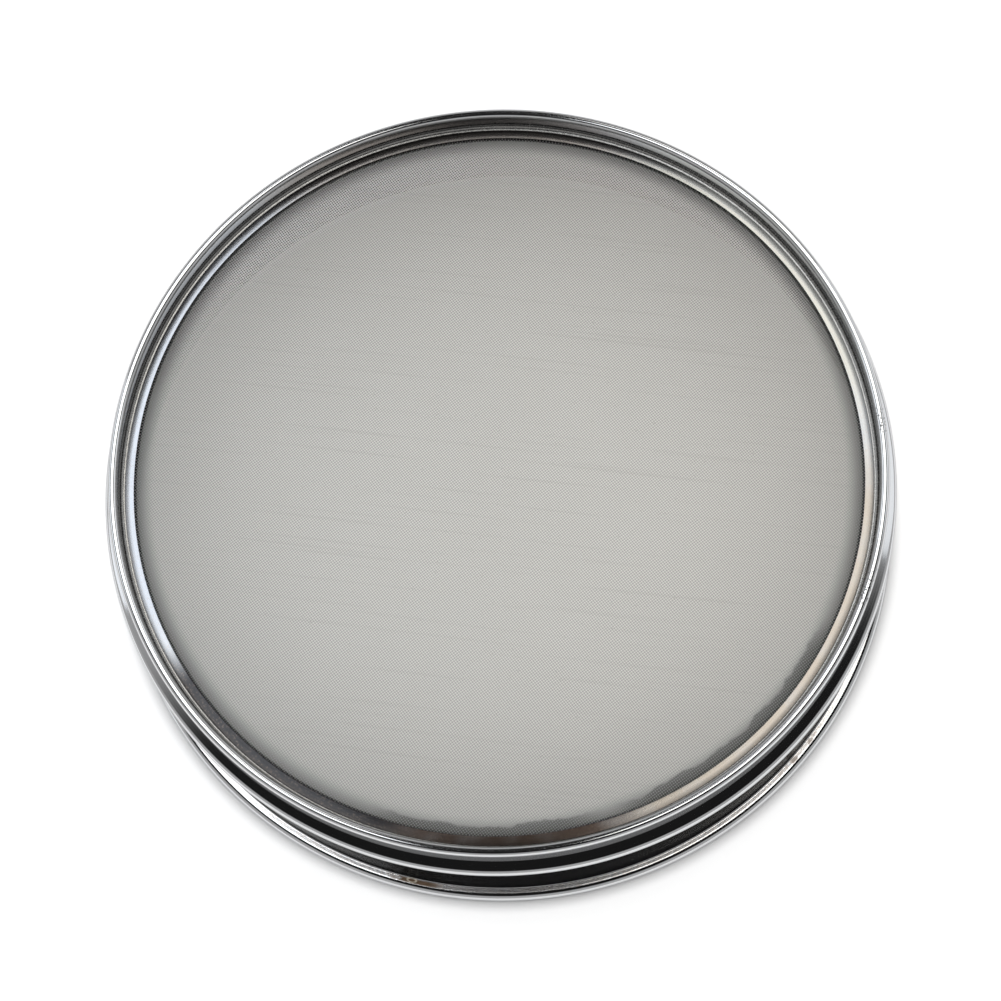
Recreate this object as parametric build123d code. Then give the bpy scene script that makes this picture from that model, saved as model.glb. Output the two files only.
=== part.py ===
"""Laboratory test sieve, 200 mm nominal, standing on its rolled rim with its skirt up.

Units are millimetres. The Z axis is the sieve's axis, and the origin is the centre of the ring
on which the rim rests. The body's mouth opens downwards, the wire cloth lies near the top, and
the skirt stands round it. Round bends in the sheet are drawn as narrow flats.
"""

import math
import os

from build123d import *

# ---- frame: one ring spun from a strip of sheet ----
BORE_R = 100.0  # inside of the body, which takes the next sieve's skirt
SHEET = 0.8  # thickness of the steel
RIM_R = 2.0  # radius of the rolled rim's section
BEAD_PROUD = 1.6  # how far the stop bead stands out from the wall
BEAD_Z = 33.9  # height of the stop bead
BEAD_NOSE = 1.75  # rounding of the bead
FLANK_LEAN = 22.0  # degrees by which the flank above the bead falls outwards
SKIRT_SLIP = 0.4  # between the skirt and the bore that it enters
SKIRT_BEND = 0.8  # rounding where the skirt turns in to the ledge
GROOVE_DEPTH = 2.2  # from the skirt in to the bottom of the groove above the bead
LEDGE_WIDTH = 2.3  # flat ledge that carries the seat ring
LIP_WIDTH = 2.5  # across the turned-over lip
LIP_RISE = 7.0  # top of the lip above the cloth
FLAT_ANGLE = 30.0  # degrees turned from one flat of a bend to the next
RIM_FLAT_ANGLE = 45.0  # the same for the rolled rim

# ---- cloth and the rings that hold it ----
SEAT_THICK = 0.8
RING_SLIP = 0.1  # between a ring's outer edge and the neck round it
CLOTH_Z = 40.0  # middle of the cloth
CLOTH_WALL = 0.3
SOLDER_RUN = 1.0  # from the skirt in to the clamp ring
SOLDER_RISE = 0.8  # how high the solder wets the skirt
SOLDER_TOE = 0.15  # solder's height at the clamp ring
CLAMP_WIDTH = 2.4
CLAMP_THICK = 0.55
CLAMP_FALL = 0.15  # how much thinner the clamp ring is at its outer edge

# ---- weave ----
WEAVE_TURN = 26.7  # degrees from the X axis to the warp
WIRE_PITCH = 15.5
WIRE_WIDTH = 6.2
WIRE_MARGIN = 0.5  # the weave ends this far inside the window
BACK_WIDTH = 4.0  # raised back of a wire where it passes over another
BACK_GAP = 1.0  # between one raised back and the next
BACK_RISE = 0.15  # its height above the cloth's wall
LEAST_GAP = 0.35  # smallest part of a gap worth cutting at the cloth's edge

# ---- places that follow from the sizes ----
WALL_R = BORE_R + SHEET
BEAD_R = WALL_R + BEAD_PROUD
SKIRT_R = BORE_R - SKIRT_SLIP
GROOVE_R = SKIRT_R - GROOVE_DEPTH
NECK_R = SKIRT_R - SHEET
LEDGE_R = NECK_R - LEDGE_WIDTH
RING_R = NECK_R - RING_SLIP
HEM_R = SKIRT_R - LIP_WIDTH
CLAMP_R = HEM_R - SOLDER_RUN
WINDOW_R = CLAMP_R - CLAMP_WIDTH
LIP_Z = CLOTH_Z + LIP_RISE
CLOTH_TOP = CLOTH_Z + CLOTH_WALL / 2
CLOTH_UNDER = CLOTH_Z - CLOTH_WALL / 2
WEAVE_R = WINDOW_R - WIRE_MARGIN
LEDGE_Z = CLOTH_UNDER - SEAT_THICK
LEDGE_UNDER = LEDGE_Z - SHEET


def ring(*outline):
    """Turns a closed outline of (radius, height) points about the Z axis."""
    return revolve(Plane.XZ * make_face(Polyline(*outline, close=True)), Axis.Z)


def bend(centre, radius, first, last, flat_angle=FLAT_ANGLE):
    """Corners of the flats round a bend, from the flat facing one angle to that facing another."""
    turn = math.radians(flat_angle)
    reach = radius / math.cos(turn / 2)
    corners = []
    for k in range(round((last - first) / flat_angle)):
        angle = math.radians(first) + (k + 0.5) * turn
        corners.append((centre[0] + reach * math.cos(angle), centre[1] + reach * math.sin(angle)))
    return corners


def rim():
    """Rolled rim, from the bore round under the sieve and back to the wall's outside."""
    centre = (BORE_R + RIM_R, RIM_R)
    last = 90 + RIM_FLAT_ANGLE
    corners = bend(centre, RIM_R, -180, last, RIM_FLAT_ANGLE)
    lean = math.radians(last)
    tuck = RIM_R + (RIM_R - (WALL_R - centre[0]) * math.cos(lean)) / math.sin(lean)
    return corners + [(WALL_R, tuck)]


def stop_bead():
    """Bead that the next sieve's rim stops against, and the flank that rises into the groove."""
    last = 90 - FLANK_LEAN
    first = last - 4 * FLAT_ANGLE
    centre = (BEAD_R - BEAD_NOSE, BEAD_Z)
    under = math.radians(first)
    foot = BEAD_Z + (BEAD_NOSE - (WALL_R - centre[0]) * math.cos(under)) / math.sin(under)
    return [(WALL_R, foot)] + bend(centre, BEAD_NOSE, first, last)


def skirt():
    """Skirt, its lip turned over, and the turned-back edge that lies on the cloth."""
    foot = bend((SKIRT_R - SKIRT_BEND, LEDGE_UNDER + SKIRT_BEND), SKIRT_BEND, -90, 0)
    nose = LIP_WIDTH / 2
    lip = bend((SKIRT_R - nose, LIP_Z - nose), nose, 0, 180)
    return foot + lip + [(HEM_R, CLOTH_TOP), (NECK_R, CLOTH_TOP)]


def ledge(groove_z):
    """Ledge inside the groove, and the inner face of the sheet down to the bore."""
    lean = math.radians(FLANK_LEAN)

    def inner_face(radius):
        return groove_z - SHEET / math.cos(lean) - (radius - GROOVE_R) * math.tan(lean)

    under = [(LEDGE_R, inner_face(LEDGE_R)), (BORE_R, inner_face(BORE_R))]
    return [(NECK_R, LEDGE_Z), (LEDGE_R, LEDGE_Z)] + under


def frame():
    """The whole sheet ring, from the rolled rim up to the lip and back inside."""
    bead = stop_bead()
    crest = bead[-1]
    groove_z = crest[1] + (crest[0] - GROOVE_R) * math.tan(math.radians(FLANK_LEAN))
    groove = [(GROOVE_R, groove_z), (GROOVE_R, LEDGE_UNDER)]
    return ring(*rim(), *bead, *groove, *skirt(), *ledge(groove_z))


def seat_ring():
    """Flat ring on the ledge, under the edge of the cloth."""
    return ring((WINDOW_R, LEDGE_Z), (RING_R, LEDGE_Z), (RING_R, CLOTH_UNDER), (WINDOW_R, CLOTH_UNDER))


def clamp_ring():
    """Thin ring on top of the cloth's edge, a little thinner outwards."""
    outer_top = CLOTH_TOP + CLAMP_THICK - CLAMP_FALL
    inner_top = CLOTH_TOP + CLAMP_THICK
    return ring((WINDOW_R, CLOTH_TOP), (CLAMP_R, CLOTH_TOP), (CLAMP_R, outer_top), (WINDOW_R, inner_top))


def solder_fillet():
    """Fillet of solder from the clamp ring's outer edge up the inside of the skirt."""
    toe = (CLAMP_R, CLOTH_TOP + SOLDER_TOE)
    crown = (HEM_R, CLOTH_TOP + SOLDER_RISE)
    return ring((CLAMP_R, CLOTH_TOP), (HEM_R, CLOTH_TOP), crown, toe)


def wire_backs():
    """Raised backs of the wires on top, where warp and weft pass over each other by turns."""
    count = math.ceil(WEAVE_R / WIRE_PITCH)
    length = WIRE_PITCH - BACK_GAP
    backs = []
    for i in range(-count, count + 1):
        for j in range(-count, count + 1):
            x, y = i * WIRE_PITCH, j * WIRE_PITCH
            if math.hypot(x, y) > WEAVE_R - length / 2:
                continue
            size = (BACK_WIDTH, length) if (i + j) % 2 else (length, BACK_WIDTH)
            backs.append(Pos(x, y, CLOTH_TOP) * Box(size[0], size[1], 2 * BACK_RISE))
    return backs


def gap_shapes():
    """The square gaps between the wires, cut short where they meet the cloth's edge."""
    side = WIRE_PITCH - WIRE_WIDTH
    count = math.ceil(WEAVE_R / WIRE_PITCH)
    places = [(k + 0.5) * WIRE_PITCH for k in range(-count, count)]
    edge = Pos(0, 0, CLOTH_Z) * Cylinder(WEAVE_R, 4 * CLOTH_WALL)
    gaps = []
    for x in places:
        for y in places:
            if math.hypot(x, y) - side > WEAVE_R:
                continue
            gap = Pos(x, y, CLOTH_Z) * Box(side, side, 2 * CLOTH_WALL)
            if math.hypot(x, y) + side > WEAVE_R:
                whole = gap.volume
                gap = gap & edge
                if gap is None or gap.volume < LEAST_GAP * whole:
                    continue
            gaps.append(gap)
    return gaps


def wire_cloth():
    """Woven cloth as one wall, with gaps between the wires and raised backs where they cross."""
    wall = Pos(0, 0, CLOTH_Z) * Cylinder(RING_R, CLOTH_WALL)
    gaps = gap_shapes()
    print("gaps in the cloth:", len(gaps))
    return Rot(0, 0, WEAVE_TURN) * (wall + wire_backs() - gaps)


os.makedirs("parts", exist_ok=True)
pieces = {
    "frame": frame(),
    "seat_ring": seat_ring(),
    "wire_cloth": wire_cloth(),
    "clamp_ring": clamp_ring(),
    "solder_fillet": solder_fillet(),
}
for name, piece in pieces.items():
    export_step(piece, f"parts/{name}.step")
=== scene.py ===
# %% [markdown]
# This lesson dresses a laboratory test sieve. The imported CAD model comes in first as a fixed
# frame: it says where each piece is, in metres, with the sieve standing on its rolled rim and
# its skirt upwards. Everything that is added later is measured from it.

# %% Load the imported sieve
import math

import bpy
from mathutils import Matrix, Vector


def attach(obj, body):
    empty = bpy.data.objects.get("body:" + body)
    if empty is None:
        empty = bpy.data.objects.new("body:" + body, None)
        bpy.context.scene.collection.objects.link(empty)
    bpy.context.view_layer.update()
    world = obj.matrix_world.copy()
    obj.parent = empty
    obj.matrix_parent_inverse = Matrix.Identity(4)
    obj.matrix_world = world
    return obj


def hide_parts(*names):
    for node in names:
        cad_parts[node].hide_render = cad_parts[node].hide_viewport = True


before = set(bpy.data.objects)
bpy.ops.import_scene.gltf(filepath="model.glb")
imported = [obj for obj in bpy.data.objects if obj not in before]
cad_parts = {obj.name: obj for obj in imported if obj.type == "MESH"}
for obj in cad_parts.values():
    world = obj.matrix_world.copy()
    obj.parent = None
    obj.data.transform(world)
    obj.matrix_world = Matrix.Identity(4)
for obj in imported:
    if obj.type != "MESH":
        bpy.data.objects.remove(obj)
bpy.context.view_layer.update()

MM = 0.001

# %% [markdown]
# The camera looks down on the sieve from a little in front of it, through a long lens, so the
# circles become slightly flat ellipses. It is aimed at a point on the wire cloth, and then
# turned a few degrees about its own line of sight.

# %% Camera
TARGET = Vector((-0.315, -7.24, 40.0)) * MM
DISTANCE = 664.7 * MM
TILT = math.radians(17.25)
ROLL = math.radians(-9.68)
FOCAL = 2600.0
PICTURE = 1001
SENSOR = 36.0

away = Vector((0.0, -math.sin(TILT), math.cos(TILT)))
camera_data = bpy.data.cameras.new("camera")
camera_data.sensor_width = SENSOR
camera_data.lens = SENSOR * FOCAL / PICTURE
camera_data.clip_start = 0.01
camera = bpy.data.objects.new("camera", camera_data)
bpy.context.scene.collection.objects.link(camera)
turn = Matrix.Rotation(TILT, 4, "X") @ Matrix.Rotation(ROLL, 4, "Z")
camera.matrix_world = Matrix.Translation(TARGET + away * DISTANCE) @ turn
bpy.context.scene.camera = camera
bpy.context.scene.view_settings.view_transform = "Standard"
print("lens in mm:", round(camera_data.lens, 1))

# %% [markdown]
# Polished steel has hardly any colour of its own. It shows its surroundings, so the studio
# matters as much as the metal. Two long soft lamps hang side by side overhead with a dark slot
# between them, a dimmer one stands on each side, and the walls of the room are pale near the
# floor and dark above. The slot and the dark walls are what draw black lines along the rings.

# %% Lamps
LAMP_HEIGHT = 1.6


def hang_lamp(name, middle, size, turned, power, colour):
    """A rectangular lamp overhead that shines straight down."""
    data = bpy.data.lights.new(name, "AREA")
    data.shape = "RECTANGLE"
    data.size, data.size_y = size
    data.energy = power
    data.color = colour
    lamp = bpy.data.objects.new(name, data)
    bpy.context.scene.collection.objects.link(lamp)
    lamp.location = (middle[0], middle[1], LAMP_HEIGHT)
    lamp.rotation_euler = (0.0, 0.0, math.radians(turned))
    return lamp


def stand_lamp(name, place, size, power, colour):
    """A rectangular lamp on a stand, aimed at the sieve."""
    lamp = hang_lamp(name, (0, 0), size, 0.0, power, colour)
    place = Vector(place)
    lamp.rotation_euler = place.to_track_quat("Z", "Y").to_euler()
    lamp.location = place
    return lamp


hang_lamp("lamp_over_left", (-0.50, 0.30), (0.62, 1.40), -12.0, 7.6, (0.96, 0.98, 1.0))
hang_lamp("lamp_over_right", (0.42, 0.30), (0.62, 1.40), -5.0, 7.2, (1.0, 0.985, 0.955))
stand_lamp("lamp_left", (-1.6, 0.80, 1.15), (1.0, 0.9), 2.6, (0.90, 0.95, 1.0))
stand_lamp("lamp_right", (1.6, 0.60, 1.15), (1.3, 0.9), 2.8, (0.94, 0.97, 1.0))

# %% [markdown]
# The room is a world whose brightness depends on height alone, so that the steel reflects a pale
# band low down and darkness above it.

# %% The room
ROOM_TONES = ((0.20, 0.55), (0.61, 0.42), (0.665, 0.012))  # (height, brightness) up the walls


def paint_room():
    """World colour by height: pale near the floor, dark above."""
    world = bpy.data.worlds.new("room")
    bpy.context.scene.world = world
    world.use_nodes = True
    sky = world.node_tree
    sky.nodes.clear()
    where = sky.nodes.new("ShaderNodeTexCoord")
    split = sky.nodes.new("ShaderNodeSeparateXYZ")
    band = sky.nodes.new("ShaderNodeValToRGB")
    glow = sky.nodes.new("ShaderNodeBackground")
    out = sky.nodes.new("ShaderNodeOutputWorld")
    stops = band.color_ramp.elements
    stops.new(0.5)
    for stop, (height, tone) in zip(stops, ROOM_TONES):
        stop.position = height
        stop.color = (tone, tone, tone, 1.0)
    sky.links.new(where.outputs["Generated"], split.inputs[0])
    sky.links.new(split.outputs["Z"], band.inputs[0])
    sky.links.new(band.outputs[0], glow.inputs[0])
    sky.links.new(glow.outputs[0], out.inputs[0])
    return world


print("world:", paint_room().name)

# %% [markdown]
# Every finish below is a small network of nodes. These helpers keep the networks short: one adds
# a node, one does arithmetic, one mixes two colours, and one finds where a point is round the
# sieve, in millimetres, from its Object coordinates.

# %% Helpers for finishes
def new_finish(name, metallic, roughness):
    """An empty node material and its Principled shader."""
    material = bpy.data.materials.new(name)
    material.use_nodes = True
    tree = material.node_tree
    shader = next(n for n in tree.nodes if n.type == "BSDF_PRINCIPLED")
    shader.inputs["Metallic"].default_value = metallic
    shader.inputs["Roughness"].default_value = roughness
    return material, tree, shader


def plug(tree, value, socket):
    """Links a socket, or sets a plain value."""
    if isinstance(value, bpy.types.NodeSocket):
        tree.links.new(value, socket)
    else:
        socket.default_value = value


def calc(tree, operation, a, b=0.0):
    """One Math node."""
    made = tree.nodes.new("ShaderNodeMath")
    made.operation = operation
    plug(tree, a, made.inputs[0])
    plug(tree, b, made.inputs[1])
    return made.outputs[0]


def rise(tree, value, low, high):
    """0 below low and 1 above high, smooth between them."""
    made = tree.nodes.new("ShaderNodeMapRange")
    made.interpolation_type = "SMOOTHSTEP"
    plug(tree, value, made.inputs["Value"])
    made.inputs["From Min"].default_value = low
    made.inputs["From Max"].default_value = high
    return made.outputs["Result"]


def mix(tree, factor, a, b):
    """One colour Mix node."""
    made = tree.nodes.new("ShaderNodeMix")
    made.data_type = "RGBA"
    plug(tree, factor, made.inputs[0])
    plug(tree, a, made.inputs[6])
    plug(tree, b, made.inputs[7])
    return made.outputs[2]


def place(tree):
    """X, Y, Z and radius of the shaded point in mm, and the raw Object coordinates."""
    where = tree.nodes.new("ShaderNodeTexCoord").outputs["Object"]
    split = tree.nodes.new("ShaderNodeSeparateXYZ")
    tree.links.new(where, split.inputs[0])
    x, y, z = [calc(tree, "MULTIPLY", split.outputs[i], 1.0 / MM) for i in range(3)]
    radius = calc(tree, "SQRT", calc(tree, "ADD", calc(tree, "MULTIPLY", x, x), calc(tree, "MULTIPLY", y, y)))
    return {"x": x, "y": y, "z": z, "radius": radius, "object": where}


def sector(tree, at, middle, half_width, soft):
    """1 inside a sector round the sieve and 0 outside it. Angles in degrees from +X."""
    a = math.radians(middle)
    along = calc(tree, "MULTIPLY", at["x"], math.cos(a))
    along = calc(tree, "ADD", along, calc(tree, "MULTIPLY", at["y"], math.sin(a)))
    cosine = calc(tree, "DIVIDE", along, at["radius"])
    outer = math.cos(math.radians(half_width + soft))
    inner = math.cos(math.radians(max(half_width - soft, 0.0)))
    return rise(tree, cosine, outer, inner)


def noise(tree, at, scale, detail=2.0, drawn_out=1.0, turned=0.0):
    """Noise on Object coordinates in mm, drawn_out times as long in the direction turned, in degrees."""
    made = tree.nodes.new("ShaderNodeTexNoise")
    shift = tree.nodes.new("ShaderNodeMapping")
    shift.vector_type = "TEXTURE"
    shift.inputs["Scale"].default_value = (MM * drawn_out, MM, MM)
    shift.inputs["Rotation"].default_value = (0.0, 0.0, math.radians(turned))
    tree.links.new(at["object"], shift.inputs["Vector"])
    tree.links.new(shift.outputs[0], made.inputs["Vector"])
    made.inputs["Scale"].default_value = scale
    made.inputs["Detail"].default_value = detail
    return made.outputs[0]


def lathe_noise(tree, at, across, around, detail=2.0):
    """Noise that runs in rings, like the marks of a spinning tool."""
    joined = tree.nodes.new("ShaderNodeCombineXYZ")
    angle = calc(tree, "ARCTAN2", at["y"], at["x"])
    plug(tree, calc(tree, "MULTIPLY", at["radius"], across), joined.inputs[0])
    plug(tree, calc(tree, "MULTIPLY", at["z"], across), joined.inputs[1])
    plug(tree, calc(tree, "MULTIPLY", calc(tree, "SINE", angle), around), joined.inputs[2])
    made = tree.nodes.new("ShaderNodeTexNoise")
    tree.links.new(joined.outputs[0], made.inputs["Vector"])
    made.inputs["Scale"].default_value = 1.0
    made.inputs["Detail"].default_value = detail
    return made.outputs[0]


def spot(tree, at, radius, angle, z, size, long):
    """Distance from a point on the sieve: 1 at size mm from it, or at long times that round the sieve."""
    c, d = math.cos(math.radians(angle)), math.sin(math.radians(angle))
    out = calc(tree, "ADD", calc(tree, "MULTIPLY", at["x"], c), calc(tree, "MULTIPLY", at["y"], d))
    along = calc(tree, "MULTIPLY", at["y"], c / long)
    along = calc(tree, "SUBTRACT", along, calc(tree, "MULTIPLY", at["x"], d / long))
    total = calc(tree, "MULTIPLY", along, along)
    for value, middle in ((out, radius), (at["z"], z)):
        off = calc(tree, "SUBTRACT", value, middle)
        total = calc(tree, "ADD", total, calc(tree, "MULTIPLY", off, off))
    return calc(tree, "DIVIDE", calc(tree, "SQRT", total), size)


def bump(tree, shader, height, distance, strength):
    """Shades fine relief from a height."""
    made = tree.nodes.new("ShaderNodeBump")
    made.inputs["Distance"].default_value = distance
    made.inputs["Strength"].default_value = strength
    tree.links.new(height, made.inputs["Height"])
    tree.links.new(made.outputs[0], shader.inputs["Normal"])


# %% [markdown]
# The floor is a plain pale table top. A primitive circle is filled and inset, so that it has a
# finer middle under the sieve. Its colour is nearly white, with a greyer disc inside the sieve's
# foot that is painted shade, darker towards the foot. Beyond the foot it also glows a little for the
# camera and for mirrors, so that it stays pale without strong lamps and still takes the sieve's
# shadow. The glow fades in over the first few millimetres past the foot, which paints a soft shade
# round it.

# %% Floor
FLOOR_R = 6.0
FLOOR_GLOW = 0.62


def add_floor():
    """A wide round table top at the sieve's foot."""
    bpy.ops.object.select_all(action="DESELECT")
    bpy.ops.mesh.primitive_circle_add(vertices=96, radius=FLOOR_R, fill_type="NGON", location=(0, 0, 0))
    made = bpy.context.object
    made.name = "floor"
    bpy.ops.object.mode_set(mode="EDIT")
    bpy.ops.mesh.select_all(action="SELECT")
    bpy.ops.mesh.inset(thickness=FLOOR_R * 0.9)
    bpy.ops.object.mode_set(mode="OBJECT")
    return made


def floor_finish():
    """Nearly white and matt, with painted shade inside the sieve's foot, and a weak glow beyond it that fades
    in as painted shade.
    """
    material, tree, shader = new_finish("pale_table", 0.0, 0.9)
    shader.inputs["Specular IOR Level"].default_value = 0.0
    shader.inputs["Emission Color"].default_value = (1.0, 1.0, 1.0, 1.0)
    at = place(tree)
    # Painted shade: inside the sieve's foot the floor is grey, darker towards the foot.
    under = mix(tree, rise(tree, at["radius"], 35.0, 98.0), (0.42, 0.42, 0.42, 1.0), (0.33, 0.33, 0.33, 1.0))
    colour = mix(tree, rise(tree, at["radius"], 101.0, 103.0), under, (0.90, 0.90, 0.90, 1.0))
    tree.links.new(colour, shader.inputs["Base Color"])
    path = tree.nodes.new("ShaderNodeLightPath")
    seen = calc(tree, "MAXIMUM", path.outputs["Is Camera Ray"], path.outputs["Is Glossy Ray"])
    seen = calc(tree, "MAXIMUM", seen, path.outputs["Is Transmission Ray"])
    # The glow fades in past the foot, which paints a soft shade round it.
    glow_past_painted_shade = rise(tree, at["radius"], 102.5, 107.5)
    glow = calc(tree, "MULTIPLY", calc(tree, "MULTIPLY", seen, glow_past_painted_shade), FLOOR_GLOW)
    tree.links.new(glow, shader.inputs["Emission Strength"])
    return material


floor = add_floor()
floor.data.materials.append(floor_finish())
print("floor radius in m:", FLOOR_R)

# %% [markdown]
# All the steel rings of a sieve are spun, so each is made here the way a potter turns a bowl: its
# outline is traced point by point at one place on the circle, and that outline is then spun round
# the sieve's axis. A primitive plane, merged to one point, is the pencil, and each extrusion draws
# one stroke.

# %% Helpers for turned pieces
ROUND_STEPS = 384
SMOOTH_UNDER = math.radians(35)


def arc(centre, radius, first, last, count):
    """Points of an arc in the (radius, height) plane, angles in degrees."""
    angles = [math.radians(first + (last - first) * k / count) for k in range(count + 1)]
    return [(centre[0] + radius * math.cos(a), centre[1] + radius * math.sin(a)) for a in angles]


def ease(start, corner, end, count=6):
    """Points of a soft turn from start to end, drawn towards the corner."""
    points = []
    for k in range(count + 1):
        t = k / count
        weights = ((1 - t) ** 2, 2 * t * (1 - t), t * t)
        points.append(tuple(sum(w * p[i] for w, p in zip(weights, (start, corner, end))) for i in (0, 1)))
    return points


def turned_piece(name, outline, node):
    """Spins a closed outline of (radius, height) points in mm; the piece stands for a CAD node."""
    bpy.ops.object.select_all(action="DESELECT")
    bpy.ops.mesh.primitive_plane_add(size=MM, location=(outline[0][0] * MM, 0, outline[0][1] * MM))
    piece = bpy.context.object
    piece.name = name
    bpy.ops.object.mode_set(mode="EDIT")
    bpy.ops.mesh.select_all(action="SELECT")
    bpy.ops.mesh.merge(type="CENTER")
    for here, there in zip(outline, outline[1:] + outline[:1]):
        stroke = ((there[0] - here[0]) * MM, 0, (there[1] - here[1]) * MM)
        bpy.ops.mesh.extrude_region_move(TRANSFORM_OT_translate={"value": stroke})
    bpy.ops.mesh.select_all(action="SELECT")
    bpy.ops.mesh.remove_doubles(threshold=MM * 0.01)
    bpy.ops.mesh.spin(steps=ROUND_STEPS, angle=2 * math.pi, center=(0, 0, 0), axis=(0, 0, 1))
    bpy.ops.mesh.select_all(action="SELECT")
    bpy.ops.mesh.remove_doubles(threshold=MM * 0.01)
    bpy.ops.mesh.normals_make_consistent(inside=False)
    bpy.ops.object.mode_set(mode="OBJECT")
    bpy.ops.object.transform_apply(location=True, rotation=True, scale=True)
    bpy.ops.object.shade_smooth_by_angle(angle=SMOOTH_UNDER)
    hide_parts(node)
    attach(piece, "root")
    print(name, "faces:", len(piece.data.polygons))
    return piece


# %% [markdown]
# The frame is one ring of thin sheet. From the table upwards it has a rolled rim, a plain wall, a
# stop bead, a flank that rises from the bead into a groove, a skirt, and a lip that turns over
# inwards and comes back down to the cloth. True arcs take the place of the CAD's narrow flats,
# because a polished bend shows every flat as a break in its bright lines.

# %% Sizes of the frame
BORE_R = 100.0
SHEET = 0.8
RIM_R = 2.0
BEAD_PROUD = 1.6
BEAD_Z = 33.9
BEAD_NOSE = 1.75
FLANK_LEAN = 22.0
SKIRT_SLIP = 0.4
SKIRT_BEND = 0.8
GROOVE_DEPTH = 2.2
LEDGE_WIDTH = 2.3
LIP_WIDTH = 2.5
CLOTH_TOP = 40.15
CLOTH_UNDER = 39.85
LIP_Z = 47.0
SEAT_THICK = 0.8

WALL_R = BORE_R + SHEET
BEAD_R = WALL_R + BEAD_PROUD
SKIRT_R = BORE_R - SKIRT_SLIP
GROOVE_R = SKIRT_R - GROOVE_DEPTH
NECK_R = SKIRT_R - SHEET
LEDGE_R = NECK_R - LEDGE_WIDTH
HEM_R = SKIRT_R - LIP_WIDTH
LEDGE_Z = CLOTH_UNDER - SEAT_THICK
LEDGE_UNDER = LEDGE_Z - SHEET
print("skirt radius in mm:", SKIRT_R)


# %% [markdown]
# The outline starts at the bore, goes round the rolled rim to its narrow flat top, up the wall and
# the bead, in and out of the groove, up the skirt, over the lip, and back down inside.

# %% Frame
def rim_outline():
    """Rolled rim, from the bore round under the sieve, over its flat top and up to the wall."""
    top = 2 * RIM_R
    roll = arc((BORE_R + RIM_R, RIM_R), RIM_R, -180, 90, 32)
    return roll + ease((WALL_R + 0.5, top), (WALL_R, top), (WALL_R, top + 0.5))


def bead_outline():
    """Plain wall and stop bead, up to where the flank begins."""
    centre = (BEAD_R - BEAD_NOSE, BEAD_Z)
    nose = arc(centre, BEAD_NOSE, -50, 90 - FLANK_LEAN, 20)
    foot = ease((WALL_R, 30.6), (WALL_R, 31.7), nose[0])
    return [(WALL_R, 12.0), (WALL_R, 21.0)] + foot[:-1] + nose


def groove_outline(crest):
    """Flank, bottom of the groove and its roof under the skirt."""
    slope = math.tan(math.radians(FLANK_LEAN))
    bottom = crest[1] + (crest[0] - GROOVE_R) * slope
    turn_in = ease((GROOVE_R + 0.5, bottom - 0.5 * slope), (GROOVE_R, bottom), (GROOVE_R, bottom + 0.4))
    turn_out = ease((GROOVE_R, LEDGE_UNDER - 0.3), (GROOVE_R, LEDGE_UNDER), (GROOVE_R + 0.3, LEDGE_UNDER))
    return turn_in + turn_out, bottom


def skirt_outline():
    """Skirt, turned-over lip and the edge that comes back down to the cloth."""
    foot = arc((SKIRT_R - SKIRT_BEND, LEDGE_UNDER + SKIRT_BEND), SKIRT_BEND, -90, 0, 8)
    nose = LIP_WIDTH / 2
    lip = arc((SKIRT_R - nose, LIP_Z - nose), nose, 0, 180, 32)
    return foot + [(SKIRT_R, 42.0)] + lip + [(HEM_R, 43.0), (HEM_R, CLOTH_TOP), (NECK_R, CLOTH_TOP)]


def ledge_outline(bottom):
    """Ledge inside the groove and the slope down to the bore."""
    lean = math.radians(FLANK_LEAN)
    inner = [bottom - SHEET / math.cos(lean) - (r - GROOVE_R) * math.tan(lean) for r in (LEDGE_R, BORE_R)]
    return [(NECK_R, LEDGE_Z), (LEDGE_R, LEDGE_Z), (LEDGE_R, inner[0]), (BORE_R, inner[1])]


bead = bead_outline()
groove, groove_bottom = groove_outline(bead[-1])
sieve_frame = turned_piece(
    "sieve_frame", rim_outline() + bead + groove + skirt_outline() + ledge_outline(groove_bottom),
    "frame")

# %% [markdown]
# Two thin rings hold the cloth down: the clamp ring, which lies on the cloth's edge, and the
# solder that was run between it and the turned-back lip. The clamp ring's softened edges catch the
# light as fine lines.

# %% Clamp ring and solder
WINDOW_R = 93.7
CLAMP_R = 96.1
CLAMP_TOP = CLOTH_TOP + 0.55
CLAMP_OUT = CLOTH_TOP + 0.40

clamp_outline = [(WINDOW_R, CLOTH_TOP)]
eased_to = (WINDOW_R + 0.15, CLAMP_TOP - 0.008)
clamp_outline += ease((WINDOW_R, CLAMP_TOP - 0.15), (WINDOW_R, CLAMP_TOP), eased_to)
clamp_outline += ease((CLAMP_R - 0.15, CLAMP_OUT + 0.01), (CLAMP_R, CLAMP_OUT), (CLAMP_R, CLAMP_OUT - 0.15))
clamp_outline += [(CLAMP_R, CLOTH_TOP)]
clamp = turned_piece("clamp_band", clamp_outline, "clamp_ring")

solder_outline = [(CLAMP_R, CLOTH_TOP), (CLAMP_R, CLOTH_TOP + 0.15), (CLAMP_R + 0.3, CLOTH_TOP + 0.18)]
solder_outline += [(CLAMP_R + 0.62, CLOTH_TOP + 0.32), (CLAMP_R + 0.86, CLOTH_TOP + 0.54)]
solder_outline += [(HEM_R, CLOTH_TOP + 0.8), (HEM_R, CLOTH_TOP)]
solder_run = turned_piece("solder_run", solder_outline, "solder_fillet")

# %% [markdown]
# The cloth is a plain weave of fine wires, 0.59 mm from wire to wire. One wire is a narrow strip
# that rises and falls where it passes over and under the others. A pair of strips that rise and
# fall by turns is repeated across the window. The second set of wires is turned by a right angle
# and starts low where the first starts high, so each wire passes over one crossing wire and under
# the next. Real gaps between the wires let the table show through.

# %% Wire cloth
PITCH = 0.593
WIRE_WIDE = 0.235
CRIMP = 0.06
WEAVE_TURN = math.radians(26.7)
CLOTH_Z = 40.0
CLOTH_EDGE = 94.6


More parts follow.
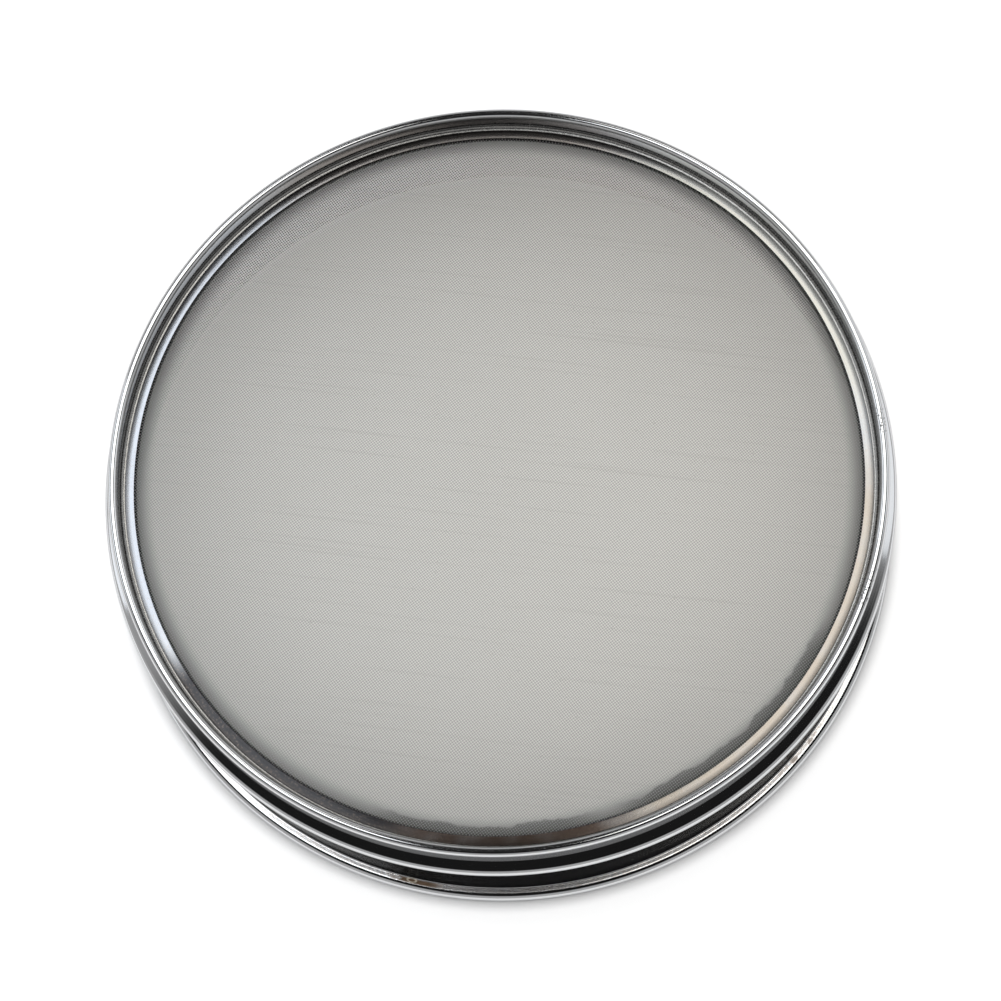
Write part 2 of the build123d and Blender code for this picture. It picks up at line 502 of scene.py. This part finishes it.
def one_wire(name, crossings, first):
    """A strip along X, high at every other crossing and low between; first is 1 or -1."""
    half = crossings / 2 * PITCH
    bpy.ops.object.select_all(action="DESELECT")
    bpy.ops.mesh.primitive_grid_add(x_subdivisions=crossings, y_subdivisions=1, size=2.0, location=(0, 0, 0))
    piece = bpy.context.object
    piece.name = name
    bpy.ops.object.mode_set(mode="EDIT")
    bpy.ops.mesh.select_all(action="SELECT")
    bpy.ops.transform.resize(value=(half * MM, WIRE_WIDE / 2 * MM, 1.0))
    bpy.ops.object.mode_set(mode="OBJECT")
    for v in piece.data.vertices:
        k = round((v.co.x / MM + half) / PITCH)
        v.co.z = CRIMP * MM * first * (1 if k % 2 == 0 else -1)
    return piece, half


def woven_set(name, angle, first):
    """One set of parallel wires, cut to a circle under the clamp ring."""
    crossings = 2 * math.ceil(CLOTH_EDGE / PITCH)
    piece, half = one_wire(name, crossings, first)
    twin = piece.copy()
    twin.data = piece.data.copy()
    bpy.context.scene.collection.objects.link(twin)
    for v in twin.data.vertices:
        v.co.z = -v.co.z
        v.co.y += PITCH * MM
    bpy.ops.object.select_all(action="DESELECT")
    twin.select_set(True)
    piece.select_set(True)
    bpy.context.view_layer.objects.active = piece
    bpy.ops.object.join()
    rows = piece.modifiers.new("rows", "ARRAY")
    rows.use_relative_offset = False
    rows.use_constant_offset = True
    rows.constant_offset_displace = (0.0, 2 * PITCH * MM, 0.0)
    rows.count = crossings // 2
    bpy.ops.object.modifier_apply(modifier="rows")
    bpy.ops.object.mode_set(mode="EDIT")
    bpy.ops.mesh.select_all(action="SELECT")
    bpy.ops.transform.translate(value=(0, -half * MM, CLOTH_Z * MM))
    bpy.ops.mesh.select_all(action="DESELECT")
    bpy.ops.object.mode_set(mode="OBJECT")
    for v in piece.data.vertices:
        v.select = math.hypot(v.co.x, v.co.y) > CLOTH_EDGE * MM
    bpy.ops.object.mode_set(mode="EDIT")
    bpy.ops.mesh.select_mode(type="VERT")
    bpy.ops.mesh.delete(type="VERT")
    bpy.ops.object.mode_set(mode="OBJECT")
    piece.data.transform(Matrix.Rotation(angle, 4, "Z"))
    bpy.ops.object.shade_smooth()
    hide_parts("wire_cloth")
    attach(piece, "root")
    print(name, "faces:", len(piece.data.polygons))
    return piece


warp = woven_set("warp_wires", WEAVE_TURN, 1)
weft = woven_set("weft_wires", WEAVE_TURN + math.pi / 2, -1)

# %% [markdown]
# The frame's steel is polished, with the faint rings that spinning leaves. The rolled rim is what
# the sieve is stood and knocked on, so its crown is scuffed and a little brown in two places. The
# inside of the body was never polished and is duller, and its colour is darkened as painted shade
# under the cloth. The plain wall is rougher, and its colour and edge tint are darkened to paint the
# dark reflection it shows from above.

# %% Finish of the frame
UNDER_FLANK = 76.0  # height at the axis of a line along the flank, under which the sheet faces inwards
BROWN_AT = -112.2  # degrees from +X to the brown patch on the rim
DROP_AT = -112.9  # to the pale drop in that patch
TRACE_AT = -49.8  # to the fainter trace of brown
CHIPS_AT = (-3.0, -29.0)  # to the small dark chips on the lip


def frame_finish():
    """Polished outside, scuffed and stained on the rim, dull and darkened as painted shade inside the body.
    """
    material, tree, shader = new_finish("polished_steel_finish", 1.0, 0.12)
    shader.inputs["Specular Tint"].default_value = (0.5, 0.5, 0.5, 1.0)
    at = place(tree)
    rings = lathe_noise(tree, at, 5.0, 3.0, 3.0)
    cloud = noise(tree, at, 0.05, 3.0)
    speck = noise(tree, at, 1.6, 4.0)
    colour = mix(tree, cloud, (0.62, 0.625, 0.635, 1.0), (0.70, 0.705, 0.715, 1.0))
    slope = math.tan(math.radians(FLANK_LEAN))
    under = calc(tree, "ADD", at["z"], calc(tree, "MULTIPLY", at["radius"], slope))
    inside = calc(tree, "LESS_THAN", at["radius"], BORE_R + 0.3)
    inside = calc(tree, "MULTIPLY", inside, calc(tree, "LESS_THAN", under, UNDER_FLANK))
    # Painted shade: the inside of the body under the cloth is darkened.
    colour = mix(tree, inside, colour, (0.16, 0.16, 0.165, 1.0))
    rim = calc(tree, "SUBTRACT", 1.0, rise(tree, at["z"], 5.0, 6.0))
    rim = calc(tree, "MULTIPLY", rim, rise(tree, at["radius"], 100.9, 101.3))
    crown = calc(tree, "SUBTRACT", 1.0, rise(tree, at["radius"], 102.1, 102.5))
    crown = calc(tree, "MULTIPLY", crown, rise(tree, at["z"], 3.0, 3.5))
    crown = calc(tree, "MULTIPLY", crown, rim)
    scuff = calc(tree, "MULTIPLY", crown, rise(tree, speck, 0.35, 0.60))
    colour = mix(tree, calc(tree, "MULTIPLY", scuff, 0.5), colour, (0.66, 0.60, 0.55, 1.0))
    blot = noise(tree, at, 0.45, 4.0)
    patch = calc(tree, "MULTIPLY", sector(tree, at, BROWN_AT, 3.2, 1.6), rise(tree, blot, 0.34, 0.44))
    trace = calc(tree, "MULTIPLY", sector(tree, at, TRACE_AT, 3.4, 2.4), rise(tree, blot, 0.44, 0.54))
    stain = calc(tree, "MULTIPLY", calc(tree, "ADD", patch, calc(tree, "MULTIPLY", trace, 0.55)), crown)
    colour = mix(tree, calc(tree, "MULTIPLY", stain, 0.92), colour, (0.15, 0.085, 0.04, 1.0))
    drop = spot(tree, at, 101.5, DROP_AT, 2 * RIM_R, 0.62, 2.2)
    oval = calc(tree, "SUBTRACT", 1.0, rise(tree, drop, 0.95, 1.15))
    oval = calc(tree, "MULTIPLY", oval, rise(tree, drop, 0.55, 0.75))
    colour = mix(tree, calc(tree, "MULTIPLY", oval, 0.8), colour, (0.75, 0.68, 0.55, 1.0))
    chips = sector(tree, at, CHIPS_AT[0], 1.6, 1.0)
    chips = calc(tree, "MAXIMUM", chips, sector(tree, at, CHIPS_AT[1], 2.6, 1.2))
    chips = calc(tree, "MULTIPLY", chips, rise(tree, at["z"], LIP_Z - 0.7, LIP_Z - 0.4))
    chips = calc(tree, "MULTIPLY", chips, rise(tree, speck, 0.56, 0.60))
    colour = mix(tree, calc(tree, "MULTIPLY", chips, 0.8), colour, (0.04, 0.04, 0.04, 1.0))
    tree.links.new(colour, shader.inputs["Base Color"])
    rough = calc(tree, "ADD", calc(tree, "MULTIPLY", rings, 0.06), 0.05)
    rough = calc(tree, "ADD", rough, calc(tree, "MULTIPLY", crown, 0.12))
    rough = calc(tree, "ADD", rough, calc(tree, "MULTIPLY", inside, 0.25))
    rough = calc(tree, "ADD", rough, calc(tree, "MULTIPLY", stain, 0.25))
    tree.links.new(rough, shader.inputs["Roughness"])
    relief = calc(tree, "ADD", rings, calc(tree, "MULTIPLY", scuff, 1.5))
    bump(tree, shader, relief, 0.000012, 0.25)
    return material


def wall_finish():
    """Rougher wall, darkened as a painted dark reflection: steel grey from the side, and dark where it is
    seen steeply from above.
    """
    material, tree, shader = new_finish("wall_painted_dark_reflection_finish", 1.0, 0.45)
    # Painted dark reflection: the wall's colour is far darker than the polished steel, and its edge tint is
    # black.
    shader.inputs["Specular Tint"].default_value = (0.0, 0.0, 0.0, 1.0)
    at = place(tree)
    rings = lathe_noise(tree, at, 5.0, 3.0, 3.0)
    cloud = noise(tree, at, 0.05, 3.0)
    colour = mix(tree, cloud, (0.25, 0.25, 0.255, 1.0), (0.30, 0.30, 0.305, 1.0))
    tree.links.new(colour, shader.inputs["Base Color"])
    rough = calc(tree, "ADD", calc(tree, "MULTIPLY", rings, 0.10), 0.16)
    tree.links.new(rough, shader.inputs["Roughness"])
    bump(tree, shader, rings, 0.000012, 0.25)
    return material


def finish_frame():
    """Gives the plain wall between rim and bead its own darkened finish, a painted dark reflection, and the
    rest the polished one.
    """
    sieve_frame.data.materials.append(frame_finish())
    sieve_frame.data.materials.append(wall_finish())
    for face in sieve_frame.data.polygons:
        x, y, z = face.center / MM
        if abs(math.hypot(x, y) - WALL_R) < 0.1 and 2 * RIM_R < z < BEAD_Z - BEAD_NOSE:
            face.material_index = 1


finish_frame()
print("finishes:", [look.name for look in sieve_frame.data.materials])

# %% [markdown]
# The clamp ring was heated when it was soldered, and the heat left it straw over part of the circle
# and brown on the near side. Its colour is also painted light by sector: a yellowish stretch on the
# right and a bluish one on the left paint the lamps' reflections, the brown near side and a
# near-black stretch beside it paint dark reflections, the far side is darkened as painted shade,
# and so is its outer edge under the lip.

# %% Finish of the clamp ring
def clamp_finish():
    """Satin steel with heat tints, painted reflections and painted shade by sector."""
    material, tree, shader = new_finish("tinted_steel_painted_reflection_finish", 1.0, 0.4)
    at = place(tree)
    rings = lathe_noise(tree, at, 4.0, 6.0, 3.0)
    cloud = noise(tree, at, 0.12, 4.0)
    speck = noise(tree, at, 2.2, 4.0)
    colour = mix(tree, cloud, (0.29, 0.30, 0.31, 1.0), (0.36, 0.37, 0.38, 1.0))
    # Painted reflection: a yellowish tint on the side of the warm lamp.
    warm_painted_reflection = calc(tree, "MULTIPLY", sector(tree, at, 30.0, 26.0, 8.0), 0.7)
    colour = mix(tree, warm_painted_reflection, colour, (0.36, 0.355, 0.32, 1.0))
    # Painted reflection: a bluish tint on the side of the cool lamp.
    cool_painted_reflection = calc(tree, "MULTIPLY", sector(tree, at, 158.0, 38.0, 10.0), 0.6)
    colour = mix(tree, cool_painted_reflection, colour, (0.33, 0.355, 0.40, 1.0))
    uneven = calc(tree, "MULTIPLY", rise(tree, cloud, 0.25, 0.60), 0.35)
    straw = calc(tree, "MULTIPLY", sector(tree, at, -45.0, 35.0, 7.0), 0.65)
    straw = calc(tree, "MULTIPLY", straw, calc(tree, "ADD", uneven, 0.65))
    colour = mix(tree, straw, colour, (0.27, 0.225, 0.17, 1.0))
    # Heat tint on the near side, darkened as a painted dark reflection.
    brown_tint_and_painted_reflection = calc(tree, "MULTIPLY", sector(tree, at, -99.0, 19.0, 5.0), calc(tree, "ADD", uneven, 0.65))
    colour = mix(tree, brown_tint_and_painted_reflection, colour, (0.075, 0.055, 0.045, 1.0))
    # Painted dark reflection: a near-black stretch beside the brown.
    dark = calc(tree, "MULTIPLY", sector(tree, at, -136.0, 22.0, 4.0), 0.95)
    colour = mix(tree, dark, colour, (0.022, 0.022, 0.024, 1.0))
    # Painted shade: the far side of the ring is darkened.
    far_painted_shade = calc(tree, "MULTIPLY", sector(tree, at, 88.0, 26.0, 10.0), 0.55)
    colour = mix(tree, far_painted_shade, colour, (0.20, 0.16, 0.13, 1.0))
    # Painted shade along the ring's outer edge, under the lip.
    edge = calc(tree, "ADD", calc(tree, "MULTIPLY", sector(tree, at, -52.0, 22.0, 8.0), 0.35), 0.4)
    edge = calc(tree, "MULTIPLY", edge, rise(tree, at["radius"], 94.4, 96.0))
    colour = mix(tree, edge, colour, (0.05, 0.045, 0.04, 1.0))
    freckle = calc(tree, "MULTIPLY", rise(tree, speck, 0.52, 0.70), 0.2)
    colour = mix(tree, freckle, colour, (0.30, 0.24, 0.20, 1.0))
    tree.links.new(colour, shader.inputs["Base Color"])
    rough = calc(tree, "ADD", calc(tree, "MULTIPLY", rings, 0.12), 0.14)
    tree.links.new(rough, shader.inputs["Roughness"])
    relief = calc(tree, "ADD", rings, calc(tree, "MULTIPLY", speck, 0.8))
    bump(tree, shader, relief, 0.00003, 0.35)
    return material


clamp.data.materials.append(clamp_finish())

# %% [markdown]
# Solder is wiped while it is soft, so it has small lumps and a softer shine than the steel.

# %% Finish of the solder
def solder_finish():
    """Wiped solder: softer shine, slight lumps."""
    material, tree, shader = new_finish("solder_finish", 1.0, 0.3)
    at = place(tree)
    lumps = noise(tree, at, 0.5, 3.0)
    grain = noise(tree, at, 3.0, 3.0)
    colour = mix(tree, lumps, (0.24, 0.235, 0.23, 1.0), (0.38, 0.375, 0.36, 1.0))
    tree.links.new(colour, shader.inputs["Base Color"])
    rough = calc(tree, "ADD", calc(tree, "MULTIPLY", grain, 0.15), 0.18)
    tree.links.new(rough, shader.inputs["Roughness"])
    bump(tree, shader, calc(tree, "ADD", lumps, calc(tree, "MULTIPLY", grain, 0.3)), 0.00012, 0.5)
    return material


solder_run.data.materials.append(solder_finish())

# %% [markdown]
# The seat ring is the one piece that keeps its CAD mesh, because it lies hidden under the cloth.

# %% Finish of the seat ring
def seat_finish():
    """Plain sheet as it came from the mill."""
    material, tree, shader = new_finish("plain_steel_finish", 1.0, 0.4)
    at = place(tree)
    rings = lathe_noise(tree, at, 2.0, 4.0, 3.0)
    colour = mix(tree, rings, (0.42, 0.42, 0.42, 1.0), (0.58, 0.58, 0.57, 1.0))
    tree.links.new(colour, shader.inputs["Base Color"])
    bump(tree, shader, rings, 0.00003, 0.3)
    return material


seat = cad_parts["seat_ring"]
seat.data.materials.clear()
seat.data.materials.append(seat_finish())

# %% [markdown]
# The wires are plain drawn steel, paler and more matt than the frame. They are darker where they dip
# under the crossing wires, as painted shade; the cloth is darkened towards the edge as painted shade,
# with a painted shadow of the clamp ring at its rim; and flux from the soldering has crept a few
# millimetres into the cloth.

# %% Finish of the cloth
STREAKS_AT = -16.7  # degrees from +X to the direction of the streaks
CREPT_AT = ((-58.0, 20.0), (-101.0, 15.0))  # middle and half width of the stretches with flux


def wire_finish():
    """Drawn wire, with painted shade at the dips and towards the edge, a painted shadow by the clamp ring,
    and darker where flux has crept in.
    """
    material, tree, shader = new_finish("woven_wire_finish", 1.0, 0.45)
    at = place(tree)
    cloud = noise(tree, at, 0.02, 3.0)
    fine = noise(tree, at, 1.2, 3.0)
    drawn = noise(tree, at, 0.8, 3.0, 60.0, STREAKS_AT)
    colour = mix(tree, cloud, (0.78, 0.775, 0.75, 1.0), (0.85, 0.845, 0.82, 1.0))
    # Painted shade: the wires are darker where they dip under the crossing wires.
    crown = rise(tree, at["z"], CLOTH_Z - 0.3 * CRIMP, CLOTH_Z + 0.8 * CRIMP)
    colour = mix(tree, crown, (0.60, 0.595, 0.575, 1.0), colour)
    # Painted shade: the cloth darkens towards the edge, more so in the last few millimetres.
    edge_painted_shade = calc(tree, "POWER", calc(tree, "DIVIDE", at["radius"], WINDOW_R), 3.0)
    edge_painted_shade = calc(tree, "MULTIPLY", edge_painted_shade, 0.31)
    rim_painted_shade = calc(tree, "MULTIPLY", rise(tree, at["radius"], 88.5, 93.4), 0.50)
    colour = mix(tree, calc(tree, "ADD", edge_painted_shade, rim_painted_shade), colour, (0.10, 0.10, 0.095, 1.0))
    # Painted shadow of the clamp ring on the cloth next to it.
    clamp_painted_shadow = calc(tree, "MULTIPLY", rise(tree, at["radius"], 93.0, 93.3), 0.9)
    colour = mix(tree, clamp_painted_shadow, colour, (0.03, 0.03, 0.03, 1.0))
    streak = calc(tree, "MULTIPLY", rise(tree, drawn, 0.55, 0.72), 0.12)
    colour = mix(tree, streak, colour, (0.30, 0.29, 0.28, 1.0))
    speck = calc(tree, "MULTIPLY", rise(tree, fine, 0.66, 0.74), 0.3)
    colour = mix(tree, speck, colour, (0.25, 0.24, 0.23, 1.0))
    edge = noise(tree, at, 0.16, 4.0)
    reach = calc(tree, "ADD", at["radius"], calc(tree, "MULTIPLY", calc(tree, "SUBTRACT", edge, 0.5), 4.5))
    stretches = [sector(tree, at, middle, half_width, 4.0) for middle, half_width in CREPT_AT]
    crept = calc(tree, "MAXIMUM", *stretches)
    crept = calc(tree, "MULTIPLY", crept, rise(tree, reach, 90.6, 91.3))
    colour = mix(tree, calc(tree, "MULTIPLY", crept, 0.66), colour, (0.08, 0.08, 0.075, 1.0))
    tree.links.new(colour, shader.inputs["Base Color"])
    bump(tree, shader, fine, 0.00002, 0.3)
    return material


wire_look = wire_finish()
for wires in (warp, weft):
    wires.data.materials.append(wire_look)
print("finish:", wire_look.name)
